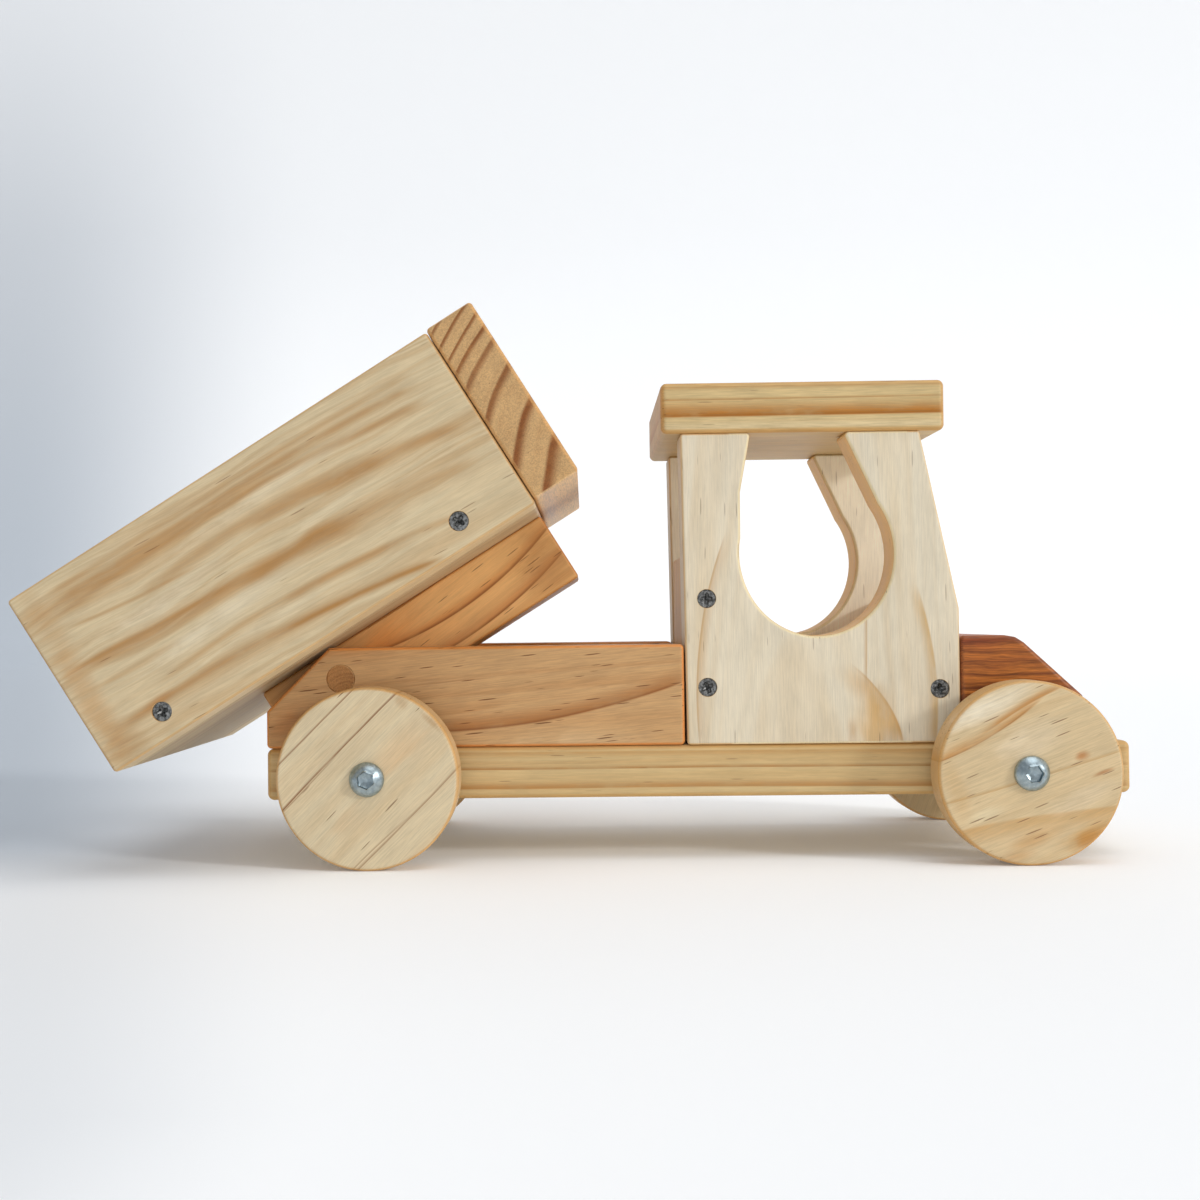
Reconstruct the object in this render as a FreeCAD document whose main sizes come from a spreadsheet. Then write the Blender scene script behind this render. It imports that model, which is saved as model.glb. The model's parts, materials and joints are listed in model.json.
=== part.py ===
import FreeCAD, Part
import Sketcher
import os
import re

# Toy dump truck of pine boards. X runs to the nose, Y to the truck's left, Z up, and the wheels stand on Z = 0.
# The load bed is drawn level about its pivot, and its parts are then tipped by the resting angle.

doc = FreeCAD.newDocument("toy_dump_truck")
sheet = doc.addObject("Spreadsheet::Sheet", "sizes")

SIZES = {
    # stock
    "board_thick": 21.5,
    "roof_thick": 21.1,
    "headboard_thick": 20.7,
    # chassis
    "chassis_rear": -132.83,
    "chassis_length": 357.9,
    "chassis_width": 105.0,
    "chassis_rounding": 2.8,
    # rails and pivot
    "rail_length": 174.4,
    "rail_height": 41.8,
    "rail_chamfer_length": 26.3,
    "rail_rounding": 1.9,
    "pivot_behind": 31.3,
    "pivot_rise": 28.9,
    "dowel_diameter": 12.0,
    "dowel_edge": 0.5,
    # cab
    "cab_start": 175.4,
    "cab_length": 113.0,
    "cab_height": 129.4,
    "cab_top_length": 97.6,
    "cab_slant_height": 55.5,
    "cab_lean": 1.6,
    "cab_rounding": 1.3,
    "back_wall_height": 80.0,
    "front_wall_height": 58.8,
    "roof_start": 165.8,
    "roof_length": 117.6,
    "roof_overhang": 1.0,
    "roof_rounding": 2.6,
    # horseshoe window, measured from the cab side's lower rear corner
    "window_across": 63.8,
    "window_deep": 68.7,
    "window_lean": 3.8,
    "window_middle": 54.4,
    "window_middle_rise": 79.0,
    # the throat leaves the bowl where both run nearly the same way
    "window_rear_top": 27.9,
    "window_rear_bend": 23.1,
    "window_rear_bend_rise": 104.7,
    "window_rear_low": 23.0,
    "window_rear_rise": 82.0,
    "window_front_top": 65.4,
    "window_front_low": 83.0,
    "window_front_low_rise": 92.7,
    "window_rounding": 1.5,
    # hood
    "hood_start": 288.4,
    "hood_length": 50.8,
    "hood_height": 44.1,
    # the flat top turns over a blunt brow into the slope
    "hood_top_length": 18.9,
    "hood_brow_length": 23.2,
    "hood_brow_height": 43.3,
    "hood_slope_start": 26.8,
    "hood_slope_height": 41.0,
    "hood_nose_height": 18.6,
    "hood_rounding": 2.2,
    # load bed, measured from the pivot
    "tip_angle": 32.0,
    "bed_behind": 87.6,
    "bed_length": 195.0,
    "bed_underside": 14.3,
    "bed_side_height": 79.5,
    "bed_width": 186.0,
    "bed_rounding": 1.5,
    "headboard_gap": 0.3,
    "headboard_rise": 1.7,
    "headboard_height": 78.7,
    "headboard_rounding": 1.6,
    # tip block
    "block_behind": 36.0,
    "block_front": 107.0,
    "block_below": 17.0,
    "block_width": 59.0,
    "block_rounding": 1.4,
    "landing_gap": 0.35,
    "running_gap": 0.08,
    # wheels
    "wheel_radius": 36.9,
    "wheel_thick": 15.0,
    "wheel_rounding": 1.7,
    "wheel_gap": 6.5,
    "rear_axle": 45.1,
    "wheelbase": 265.4,
    "side_play": 0.3,
    "spacer_radius": 8.0,
    "bolt_radius": 4.0,
    "bolt_depth": 35.0,
    "bolt_head_radius": 7.0,
    "bolt_head_height": 4.4,
    "bolt_dome_radius": 7.7,
    "bolt_dome_sink": 2.4,
    "bolt_socket_across": 5.0,
    "bolt_socket_depth": 2.8,
    # screws
    "screw_head_radius": 4.0,
    "screw_head_height": 3.0,
    "screw_radius": 2.0,
    "screw_length": 40.0,
    "screw_tip": 5.0,
    "screw_sink": 0.5,
    "cab_screw_rear": 8.6,
    "cab_screw_front": 104.6,
    "cab_screw_low": 23.8,
    "cab_screw_front_low": 22.2,
    "cab_screw_high": 60.6,
    "bed_screw_rise": 10.3,
    "bed_screw_rear": 59.1,
    "bed_screw_front": 78.4,
    "rail_screw_rear": 18.0,
    "rail_screw_middle": 92.0,
    "rail_screw_front": 156.0,
    "base_screw_rear": 194.0,
    "base_screw_front": 270.0,
    "hood_screw_start": 9.0,
    "hood_screw_side": 26.0,
    "roof_screw_rear": 13.0,
    "roof_screw_front": 90.0,
    "headboard_screw_low": 22.0,
    "headboard_screw_high": 58.0,
    "block_screw_rear": 32.0,
    "block_screw_front": 84.0,
    "block_screw_side": 14.0,
}


def fill_sheet():
    for row, (alias, size) in enumerate(SIZES.items(), start=1):
        cell = "B%d" % row
        sheet.set("A%d" % row, alias)
        sheet.set(cell, str(size))
        sheet.setAlias(cell, alias)
    doc.recompute()


def formula(text):
    """The formula with each sheet alias named as the sheet's own."""
    return re.sub(r"[a-z_]+", lambda word: "sizes." + word[0] if word[0] in SIZES else word[0], text)


def value(text):
    """What a formula comes to, worked out by the sheet in a spare cell."""
    sheet.set("D1", "=" + text)
    doc.recompute([sheet])
    return float(sheet.get("D1"))


def bind(obj, prop, text):
    obj.setExpression(prop, formula(text))


def place(obj, x="0", y="0", z="0"):
    for axis, text in (("x", x), ("y", y), ("z", z)):
        if text != "0":
            bind(obj, "Placement.Base." + axis, text)
    return obj


def point_to(obj, direction):
    """Turns an object that was made along +Z."""
    turns = {
        "Z": ((0, 0, 1), 0),
        "-Z": ((1, 0, 0), 180),
        "Y": ((1, 0, 0), -90),
        "-Y": ((1, 0, 0), 90),
        "X": ((0, 1, 0), 90),
        "-X": ((0, 1, 0), -90),
    }
    axis, angle = turns[direction]
    obj.Placement = FreeCAD.Placement(FreeCAD.Vector(), FreeCAD.Rotation(FreeCAD.Vector(*axis), angle))
    return obj


def origin_plane(body, role):
    return next(plane for plane in body.Origin.OriginFeatures if plane.Role == role)


def outline(body, points):
    """A closed outline of straight lines, each corner held at two formulas from the sketch's origin."""
    sketch = body.newObject("Sketcher::SketchObject", body.Name + "_outline")
    sketch.AttachmentSupport = (origin_plane(body, "XZ_Plane"), [""])
    sketch.MapMode = "FlatFace"
    corners = [FreeCAD.Vector(value(across), value(up), 0) for across, up in points]
    count = len(corners)
    for number in range(count):
        sketch.addGeometry(Part.LineSegment(corners[number], corners[(number + 1) % count]), False)
    for number in range(count):
        sketch.addConstraint(Sketcher.Constraint("Coincident", number, 2, (number + 1) % count, 1))
    for number, ((across, up), corner) in enumerate(zip(points, corners)):
        hold(sketch, number, "DistanceX", -2, across, corner.x)
        hold(sketch, number, "DistanceY", -1, up, corner.y)
    return sketch


def hold(sketch, number, kind, axis, text, size):
    if text == "0":
        sketch.addConstraint(Sketcher.Constraint("PointOnObject", number, 1, axis))
    else:
        held = sketch.addConstraint(Sketcher.Constraint(kind, -1, 1, number, 1, size))
        bind(sketch, "Constraints[%d]" % held, text)


def prism(name, points, thick):
    """A body padded both ways from an outline in its XZ plane."""
    body = doc.addObject("PartDesign::Body", name)
    sketch = outline(body, points)
    pad = body.newObject("PartDesign::Pad", name + "_pad")
    pad.Profile = sketch
    pad.Midplane = True
    bind(pad, "Length", thick)
    doc.recompute()
    return body


def rounded(body, rounding):
    """Every edge of the body eased, as by hand sanding."""
    pad = body.Tip
    easing = body.newObject("PartDesign::Fillet", body.Name + "_easing")
    easing.Base = (pad, ["Edge%d" % (number + 1) for number in range(len(pad.Shape.Edges))])
    bind(easing, "Radius", rounding)
    doc.recompute()
    return body


def board(name, length, height, thick, rounding):
    """A plain board, centred across Y, with its rear lower edge on its own Y axis."""
    corners = [("0", "0"), (length, "0"), (length, height), ("0", height)]
    return rounded(prism(name, corners, thick), rounding)


def rod(name, radius, length, direction):
    cylinder = doc.addObject("Part::Cylinder", name)
    bind(cylinder, "Radius", radius)
    bind(cylinder, "Height", length)
    return point_to(cylinder, direction)


def eased_rod(kind, name, radius, length, direction, easing):
    """A rod with both rims filleted or chamfered."""
    blank = rod(name + "_blank", radius, length, direction)
    doc.recompute()
    rims = [number for number, edge in enumerate(blank.Shape.Edges, 1) if isinstance(edge.Curve, Part.Circle)]
    result = doc.addObject(kind, name)
    result.Base = blank
    result.Edges = [(number, easing, easing) for number in rims]
    return result


def fused(name, pieces):
    fuse = doc.addObject("Part::MultiFuse", name)
    fuse.Shapes = pieces
    return fuse


def together(name, pieces):
    group = doc.addObject("Part::Compound", name)
    group.Links = pieces
    return group


def cut(name, base, tool):
    result = doc.addObject("Part::Cut", name)
    result.Base = base
    result.Tool = tool
    return result


fill_sheet()

FLAT = 0.01
CHASSIS_BOTTOM = "wheel_radius - board_thick / 2"
CHASSIS_TOP = "wheel_radius + board_thick / 2"
CAB_REAR = "chassis_rear + cab_start"
SIDE_MIDDLE = "(chassis_width - board_thick) / 2"
BED_SIDE_MIDDLE = "(bed_width - board_thick) / 2"
INNER_WIDTH = "chassis_width - 2 * board_thick"
BED_FRONT = "bed_length - bed_behind + headboard_gap"
SIDES = (("left", "1 * ", "-Y", "Y"), ("right", "-1 * ", "Y", "-Y"))


def tip(obj):
    """Carries a part drawn level about the pivot to where the tipped bed holds it."""
    obj.Placement = FreeCAD.Placement(FreeCAD.Vector(), FreeCAD.Rotation(FreeCAD.Vector(0, -1, 0), 1))
    bind(obj, "Placement.Rotation.Angle", "tip_angle")
    return place(obj, "chassis_rear + pivot_behind", "0", CHASSIS_TOP + " + pivot_rise")


# ---- screws

def screw(name, x, y, z, direction):
    """A countersunk screw driven from a point on a board's face, and the tool that cuts its hole."""
    head = doc.addObject("Part::Cone", name + "_head")
    bind(head, "Radius1", "screw_head_radius")
    bind(head, "Radius2", "screw_radius")
    bind(head, "Height", "screw_head_height")
    shank = rod(name + "_shank", "screw_radius", "screw_length - screw_tip", "Z")
    point = doc.addObject("Part::Cone", name + "_point")
    bind(point, "Radius1", "screw_radius")
    bind(point, "Radius2", "screw_radius / 4")
    bind(point, "Height", "screw_tip")
    place(point, z="screw_length - screw_tip")
    blank = fused(name + "_blank", [head, shank, point])
    well = place(rod(name + "_well", "screw_head_radius", "2 * screw_sink", "Z"), z="-2 * screw_sink")
    cutter = fused(name + "_cutter", [blank, well])
    sunk = {"X": x, "Y": y, "Z": z}
    sunk[direction[-1]] += (" - " if direction[0] == "-" else " + ") + "screw_sink"
    driven = []
    for piece, ending in ((blank, "_driven"), (cutter, "_bored")):
        moved = point_to(together(name + ending, [piece]), direction)
        driven.append(place(moved, sunk["X"], sunk["Y"], sunk["Z"]))
    return driven


def screw_group(name, spots):
    """The screws as one group, and the holes that they cut as another."""
    pairs = [screw("%s_%d" % (name, number), *spot) for number, spot in enumerate(spots, 1)]
    screws = together(name, [pair[0] for pair in pairs])
    return screws, together(name + "_holes", [pair[1] for pair in pairs])


nodes = []
holes = {}
from_below = {
    "rail_screws": ("rail_screw_rear", "rail_screw_middle", "rail_screw_front"),
    "cab_base_screws": ("base_screw_rear", "base_screw_front"),
}
chassis_spots = {
    name: [
        ("chassis_rear + " + behind, sign + SIDE_MIDDLE, CHASSIS_BOTTOM, "Z")
        for behind in spots
        for side, sign, inward, outward in SIDES
    ]
    for name, spots in from_below.items()
}
chassis_spots["hood_screws"] = [
    ("chassis_rear + hood_start + hood_screw_start", sign + "hood_screw_side", CHASSIS_BOTTOM, "Z")
    for side, sign, inward, outward in SIDES
]
chassis_spots["cab_screws"] = [
    (CAB_REAR + " + " + x, sign + "chassis_width / 2", CHASSIS_TOP + " + " + z, inward)
    for x, z in (
        ("cab_screw_rear", "cab_screw_high"),
        ("cab_screw_rear", "cab_screw_low"),
        ("cab_screw_front", "cab_screw_front_low"),
    )
    for side, sign, inward, outward in SIDES
]
chassis_spots["roof_screws"] = [
    (CAB_REAR + " + " + x, sign + SIDE_MIDDLE, CHASSIS_TOP + " + cab_height + roof_thick", "-Z")
    for x in ("roof_screw_rear", "roof_screw_front")
    for side, sign, inward, outward in SIDES
]
bed_spots = {
    "bed_side_screws": [
        (x, sign + "bed_width / 2", "bed_underside + bed_screw_rise", inward)
        for x in ("-1 * bed_screw_rear", "bed_screw_front")
        for side, sign, inward, outward in SIDES
    ],
    "headboard_screws": [
        (BED_FRONT + " + headboard_thick", sign + BED_SIDE_MIDDLE, "bed_underside + " + rise, "-X")
        for rise in ("headboard_screw_low", "headboard_screw_high")
        for side, sign, inward, outward in SIDES
    ],
    "tip_block_screws": [
        (x, sign + "block_screw_side", "bed_underside + board_thick", "-Z")
        for x in ("block_screw_rear", "block_screw_front")
        for side, sign, inward, outward in SIDES
    ],
}
for name, spots in chassis_spots.items():
    screws, holes[name] = screw_group(name, spots)
    nodes.append(screws)
for name, spots in bed_spots.items():
    level_screws, holes[name] = screw_group(name + "_level", spots)
    nodes.append(tip(together(name, [level_screws])))


# ---- wheels, their bolts and spacers

def wheel(label, outward, spot):
    disc = eased_rod(
        "Part::Fillet", "disc_" + label, "wheel_radius", "wheel_thick", outward, SIZES["wheel_rounding"]
    )
    bore = rod("bore_" + label, "bolt_radius + running_gap", "wheel_thick", outward)
    return place(cut("wheel_" + label, disc, bore), *spot)


def spacer(label, outward, spot):
    ring = rod("ring_" + label, "spacer_radius", "wheel_gap - side_play", outward)
    bore = rod("ring_bore_" + label, "bolt_radius", "wheel_gap", outward)
    return place(cut("wheel_spacer_" + label, ring, bore), *spot)


def button_bolt(label, outward, spot):
    """A button-head bolt with a hexagon socket, made with its head upwards."""
    drum = rod("drum_" + label, "bolt_head_radius", "bolt_head_height", "Z")
    ball = doc.addObject("Part::Sphere", "ball_" + label)
    bind(ball, "Radius", "bolt_dome_radius")
    place(ball, z="-1 * bolt_dome_sink")
    dome = doc.addObject("Part::Common", "dome_" + label)
    dome.Base = drum
    dome.Tool = ball
    socket = doc.addObject("Part::Prism", "socket_" + label)
    socket.Polygon = 6
    bind(socket, "Circumradius", "bolt_socket_across / sqrt(3)")
    bind(socket, "Height", "2 * bolt_socket_depth")
    place(socket, z="bolt_head_height - bolt_socket_depth")
    head = cut("bolt_head_" + label, dome, socket)
    grip = "bolt_depth + wheel_gap + wheel_thick + side_play"
    bolt = fused("wheel_bolt_" + label, [head, rod("bolt_shank_" + label, "bolt_radius", grip, "-Z")])
    return place(point_to(bolt, outward), *spot)


bolts = []
for end, behind in (("rear", "rear_axle"), ("front", "rear_axle + wheelbase")):
    for side, sign, inward, outward in SIDES:
        label = end + "_" + side
        axle = "chassis_rear + " + behind
        at_side = (axle, sign + "chassis_width / 2", "wheel_radius")
        at_wheel = (axle, sign + "(chassis_width / 2 + wheel_gap)", "wheel_radius")
        at_head = (axle, sign + "(chassis_width / 2 + wheel_gap + wheel_thick + side_play)", "wheel_radius")
        bolts.append(button_bolt(label, outward, at_head))
        nodes += [wheel(label, outward, at_wheel), spacer(label, outward, at_side), bolts[-1]]


# ---- chassis, pivot dowel and rails

dowel_spot = ("chassis_rear + pivot_behind", "-1 * chassis_width / 2", CHASSIS_TOP + " + pivot_rise")
dowel = eased_rod(
    "Part::Chamfer", "pivot_dowel", "dowel_diameter / 2", "chassis_width", "Y", SIZES["dowel_edge"]
)
nodes.append(place(dowel, *dowel_spot))
dowel_hole = place(rod("dowel_hole", "dowel_diameter / 2", "chassis_width", "Y"), *dowel_spot)

plank = board("chassis_plank", "chassis_length", "board_thick", "chassis_width", "chassis_rounding")
place(plank, "chassis_rear", "0", CHASSIS_BOTTOM)
bored = bolts + [holes["rail_screws"], holes["cab_base_screws"], holes["hood_screws"]]
nodes.append(cut("chassis_board", plank, together("chassis_holes", bored)))

rail_outline = [
    ("0", "0"),
    ("rail_length", "0"),
    ("rail_length", "rail_height"),
    ("rail_chamfer_length", "rail_height"),
    ("0", "rail_height - rail_chamfer_length"),
]
for side, sign, inward, outward in SIDES:
    blank = rounded(prism("rail_blank_" + side, rail_outline, "board_thick"), "rail_rounding")
    place(blank, "chassis_rear", sign + SIDE_MIDDLE, CHASSIS_TOP)
    rail_holes = together("rail_holes_" + side, [dowel_hole, holes["rail_screws"]])
    nodes.append(cut("rail_" + side, blank, rail_holes))


# ---- cab

def window_cutter():
    """The horseshoe window's hollow through both cab sides: a leaning oval bowl and a throat open at the top."""
    bowl = doc.addObject("Part::Ellipse", "window_bowl")
    bind(bowl, "MajorRadius", "window_deep / 2")
    bind(bowl, "MinorRadius", "window_across / 2")
    upright = FreeCAD.Rotation(FreeCAD.Vector(1, 0, 0), 90)
    leaning = FreeCAD.Rotation(FreeCAD.Vector(0, 0, 1), SIZES["window_lean"] - 90)
    bowl.Placement = FreeCAD.Placement(FreeCAD.Vector(), upright.multiply(leaning))
    place(bowl, CAB_REAR + " + window_middle", "0", CHASSIS_TOP + " + window_middle_rise")
    hollow = doc.addObject("Part::Extrusion", "window_bowl_hollow")
    hollow.Base = bowl
    hollow.DirMode = "Custom"
    hollow.Dir = FreeCAD.Vector(0, 1, 0)
    hollow.Solid = True
    hollow.Symmetric = True
    bind(hollow, "LengthFwd", "chassis_width + 2 * cab_rounding")
    throat_outline = [
        ("window_rear_low", "window_rear_rise"),
        ("window_front_low", "window_front_low_rise"),
        ("window_front_top", "cab_height + cab_rounding"),
        ("window_rear_top", "cab_height + cab_rounding"),
        ("window_rear_bend", "window_rear_bend_rise"),
    ]
    throat = prism("window_throat", throat_outline, "chassis_width + 2 * cab_rounding")
    place(throat, CAB_REAR, "0", CHASSIS_TOP)
    return fused("window_cutter", [hollow, throat])


def eased_window(name, opened):
    """The cab side with the window's edges eased on both faces."""
    doc.recompute()
    rear = value(CAB_REAR + " + cab_rounding")
    front = value(CAB_REAR + " + cab_top_length - cab_rounding")
    easing = doc.addObject("Part::Fillet", name)
    easing.Base = opened
    easing.Edges = [
        (number, SIZES["window_rounding"], SIZES["window_rounding"])
        for number, edge in enumerate(opened.Shape.Edges, 1)
        if edge.BoundBox.YLength < FLAT
        and edge.BoundBox.XMin > rear
        and edge.BoundBox.XMax < front
        and edge.BoundBox.ZLength > FLAT
    ]
    return easing


window = window_cutter()
cab_outline = [
    ("0", "0"),
    ("cab_length", "0"),
    ("cab_length", "cab_slant_height"),
    ("cab_top_length", "cab_height"),
    ("-1 * cab_lean", "cab_height"),
]
for side, sign, inward, outward in SIDES:
    blank = rounded(prism("cab_side_blank_" + side, cab_outline, "board_thick"), "cab_rounding")
    place(blank, CAB_REAR, sign + SIDE_MIDDLE, CHASSIS_TOP)
    opened = eased_window("cab_side_opened_" + side, cut("cab_side_window_" + side, blank, window))
    bored = [holes["cab_screws"], holes["cab_base_screws"], holes["roof_screws"]]
    nodes.append(cut("cab_side_" + side, opened, together("cab_side_holes_" + side, bored)))

for name, height, start in (
    ("cab_back_wall", "back_wall_height", CAB_REAR),
    ("cab_front_wall", "front_wall_height", CAB_REAR + " + cab_length - board_thick"),
):
    wall = board(name + "_blank", "board_thick", height, INNER_WIDTH, "cab_rounding")
    place(wall, start, "0", CHASSIS_TOP)
    nodes.append(cut(name, wall, holes["cab_screws"]))

roof = board("roof_blank", "roof_length", "roof_thick", "chassis_width + 2 * roof_overhang", "roof_rounding")
place(roof, "chassis_rear + roof_start", "0", CHASSIS_TOP + " + cab_height")
nodes.append(cut("cab_roof", roof, holes["roof_screws"]))

hood_outline = [
    ("0", "0"),
    ("hood_length", "0"),
    ("hood_length", "hood_nose_height"),
    ("hood_slope_start", "hood_slope_height"),
    ("hood_brow_length", "hood_brow_height"),
    ("hood_top_length", "hood_height"),
    ("0", "hood_height"),
]
hood = rounded(prism("hood_blank", hood_outline, "chassis_width"), "hood_rounding")
place(hood, "chassis_rear + hood_start", "0", CHASSIS_TOP)
nodes.append(cut("hood_block", hood, holes["hood_screws"]))


# ---- load bed

floor = board("bed_floor_blank", "bed_length", "board_thick", "bed_width - 2 * board_thick", "bed_rounding")
place(floor, "-1 * bed_behind", "0", "bed_underside")
bored = together("bed_floor_holes", [holes["bed_side_screws"], holes["tip_block_screws"]])
nodes.append(tip(cut("bed_floor", floor, bored)))

for side, sign, inward, outward in SIDES:
    blank = board("bed_side_blank_" + side, "bed_length", "bed_side_height", "board_thick", "bed_rounding")
    place(blank, "-1 * bed_behind", sign + BED_SIDE_MIDDLE, "bed_underside")
    bored = together("bed_side_holes_" + side, [holes["bed_side_screws"], holes["headboard_screws"]])
    nodes.append(tip(cut("bed_side_" + side, blank, bored)))

headboard = board("headboard_blank", "headboard_thick", "headboard_height", "bed_width", "headboard_rounding")
place(headboard, BED_FRONT, "0", "bed_underside + headboard_rise")
nodes.append(tip(cut("bed_headboard", headboard, holes["headboard_screws"])))

# The block's lower rear corner is cut to a flat that lands on the chassis when the bed is fully tipped.
LANDING = "(pivot_rise - landing_gap)"
LANDING_BEHIND = "(" + LANDING + " - block_below * cos(tip_angle)) / sin(tip_angle)"
LANDING_BELOW = "(" + LANDING + " - block_behind * sin(tip_angle)) / cos(tip_angle)"
block_outline = [
    ("block_behind - " + LANDING_BEHIND, "0"),
    ("block_behind + block_front", "0"),
    ("block_behind + block_front", "block_below + bed_underside"),
    ("0", "block_below + bed_underside"),
    ("0", "block_below - " + LANDING_BELOW),
]
block = rounded(prism("tip_block_blank", block_outline, "block_width"), "block_rounding")
place(block, "-1 * block_behind", "0", "-1 * block_below")
pivot_bore = rod("pivot_bore", "dowel_diameter / 2 + running_gap", "chassis_width", "Y")
place(pivot_bore, "0", "-1 * chassis_width / 2", "0")
bored = together("tip_block_holes", [pivot_bore, holes["tip_block_screws"]])
nodes.append(tip(cut("tip_block", block, bored)))


# ---- checks and export

doc.recompute()
faulty = [obj.Name for obj in doc.Objects if "Invalid" in obj.State or "Error" in obj.State]
if faulty:
    raise RuntimeError("these objects failed: " + ", ".join(faulty))

os.makedirs("parts", exist_ok=True)
for node in nodes:
    if node.Shape.isNull() or not node.Shape.isValid():
        raise RuntimeError(node.Label + " has no valid shape")
    node.Shape.exportStep("parts/%s.step" % node.Label)
print("nodes:", len(nodes))
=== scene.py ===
import json
import math

import bpy
import numpy as np
from mathutils import Euler, Matrix, Vector


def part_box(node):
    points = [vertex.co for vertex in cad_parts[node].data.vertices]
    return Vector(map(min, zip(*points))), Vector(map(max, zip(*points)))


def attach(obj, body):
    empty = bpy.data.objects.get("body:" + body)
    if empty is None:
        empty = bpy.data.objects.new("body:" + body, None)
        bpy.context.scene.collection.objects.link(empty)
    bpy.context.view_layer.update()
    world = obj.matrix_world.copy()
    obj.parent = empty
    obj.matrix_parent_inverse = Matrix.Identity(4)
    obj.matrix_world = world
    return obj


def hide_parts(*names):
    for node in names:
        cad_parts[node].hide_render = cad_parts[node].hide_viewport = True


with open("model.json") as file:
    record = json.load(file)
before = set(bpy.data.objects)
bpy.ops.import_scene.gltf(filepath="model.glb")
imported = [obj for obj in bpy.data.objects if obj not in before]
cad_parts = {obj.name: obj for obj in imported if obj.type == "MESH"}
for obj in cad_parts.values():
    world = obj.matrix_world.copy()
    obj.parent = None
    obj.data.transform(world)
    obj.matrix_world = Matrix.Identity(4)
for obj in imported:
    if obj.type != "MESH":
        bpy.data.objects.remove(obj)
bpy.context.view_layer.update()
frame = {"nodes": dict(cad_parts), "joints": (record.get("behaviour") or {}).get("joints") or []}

MM = 0.001                        # materials and shapes are worked out in millimetres
PIVOT = Vector(next(j["pos_m"] for j in frame["joints"] if j["name"] == "bed_tip"))
TIP = math.radians(32.0)          # how far the bed is tipped at rest


# ---------------------------------------------------------------- node graphs

def rgb(red, green, blue):
    """A display colour, 0 to 255 a channel, as Blender's linear colour."""
    def linear(c):
        c /= 255
        return c / 12.92 if c <= 0.04045 else ((c + 0.055) / 1.055) ** 2.4
    return (linear(red), linear(green), linear(blue), 1.0)


class Graph:
    """A short way to write a material's nodes: each method returns a socket."""

    def __init__(self, name):
        self.material = bpy.data.materials.new(name)
        self.material.use_nodes = True
        self.nodes = self.material.node_tree.nodes
        self.links = self.material.node_tree.links
        self.nodes.clear()

    def feed(self, socket, value):
        if isinstance(value, bpy.types.NodeSocket):
            self.links.new(value, socket)
        else:
            socket.default_value = value

    def node(self, kind, inputs=(), **settings):
        n = self.nodes.new(kind)
        for key, value in settings.items():
            setattr(n, key, value)
        for key, value in dict(inputs).items():
            self.feed(n.inputs[key], value)
        return n

    def math(self, operation, *values, clamp=False):
        n = self.node("ShaderNodeMath", enumerate(values), operation=operation, use_clamp=clamp)
        return n.outputs[0]

    def add(self, a, b):
        return self.math("ADD", a, b)

    def sub(self, a, b):
        return self.math("SUBTRACT", a, b)

    def mul(self, a, b):
        return self.math("MULTIPLY", a, b)

    def dot(self, a, b):
        n = self.node("ShaderNodeVectorMath", {0: a, 1: tuple(b)}, operation="DOT_PRODUCT")
        return n.outputs["Value"]

    def scaled(self, vector, factor):
        return self.node("ShaderNodeVectorMath", {0: vector, 3: factor}, operation="SCALE").outputs[0]

    def xyz(self, x, y, z):
        return self.node("ShaderNodeCombineXYZ", {0: x, 1: y, 2: z}).outputs[0]

    def step(self, value, low, high, out_low=0.0, out_high=1.0):
        """A smooth rise from out_low, where value is low, to out_high, where it is high."""
        n = self.node("ShaderNodeMapRange", {"Value": value, "From Min": low, "From Max": high,
                      "To Min": out_low, "To Max": out_high}, interpolation_type="SMOOTHSTEP")
        return n.outputs[0]

    def noise(self, vector, detail=2.0, roughness=0.5, distortion=0.0):
        n = self.node("ShaderNodeTexNoise", {"Vector": vector, "Scale": 1.0, "Detail": detail,
                      "Roughness": roughness, "Distortion": distortion})
        return n.outputs["Fac"]

    def noise_1d(self, w, detail=1.0):
        n = self.node("ShaderNodeTexNoise", noise_dimensions="1D")
        self.feed(n.inputs["W"], w)
        n.inputs["Scale"].default_value = 1.0
        n.inputs["Detail"].default_value = detail
        return n.outputs["Fac"]

    def ramp(self, value, stops):
        n = self.node("ShaderNodeValToRGB", {0: value})
        elements = n.color_ramp.elements
        while len(elements) < len(stops):
            elements.new(0.5)
        for element, (at, level) in zip(elements, stops):
            element.position = at
            element.color = level if isinstance(level, tuple) else (level, level, level, 1)
        return n.outputs[0]

    def mix(self, amount, a, b, how="MIX"):
        n = self.node("ShaderNodeMix", data_type="RGBA", blend_type=how, clamp_factor=True)
        for key, value in ((0, amount), (6, a), (7, b)):
            self.feed(n.inputs[key], value)
        return n.outputs[2]

    def finish(self, shader):
        out = self.node("ShaderNodeOutputMaterial")
        self.links.new(shader, out.inputs["Surface"])
        return self.material


# ---------------------------------------------------------------------- wood

X, Y, Z = Vector((1, 0, 0)), Vector((0, 1, 0)), Vector((0, 0, 1))
BED_X = Vector((math.cos(TIP), 0, math.sin(TIP)))
BED_Z = Vector((-math.sin(TIP), 0, math.cos(TIP)))


def middle(node):
    low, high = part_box(node)
    return (low + high) / 2


# how the wood's textures are drawn out along the grain: length along it and width across it
FADE_STRETCH = (60, 12)           # where growth rings grow faint
BROAD_STRETCH = (150, 9)          # broad soft bands
FINE_STRETCH = (11, 0.5)          # fibres
CLOUD_STRETCH = (26, 12)          # mottle
DASH_STRETCH = (19, 1.25)         # short resin dashes
LINE_REACH = 7.0                  # how softly a growth line begins and ends
LINE_BRINK = 0.12                 # the least width of a growth line's sharp side
RESIN = rgb(110, 66, 32)
# painted highlight along the brink of a board's main face
BRINK_HIGHLIGHT = rgb(238, 224, 184)


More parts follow.
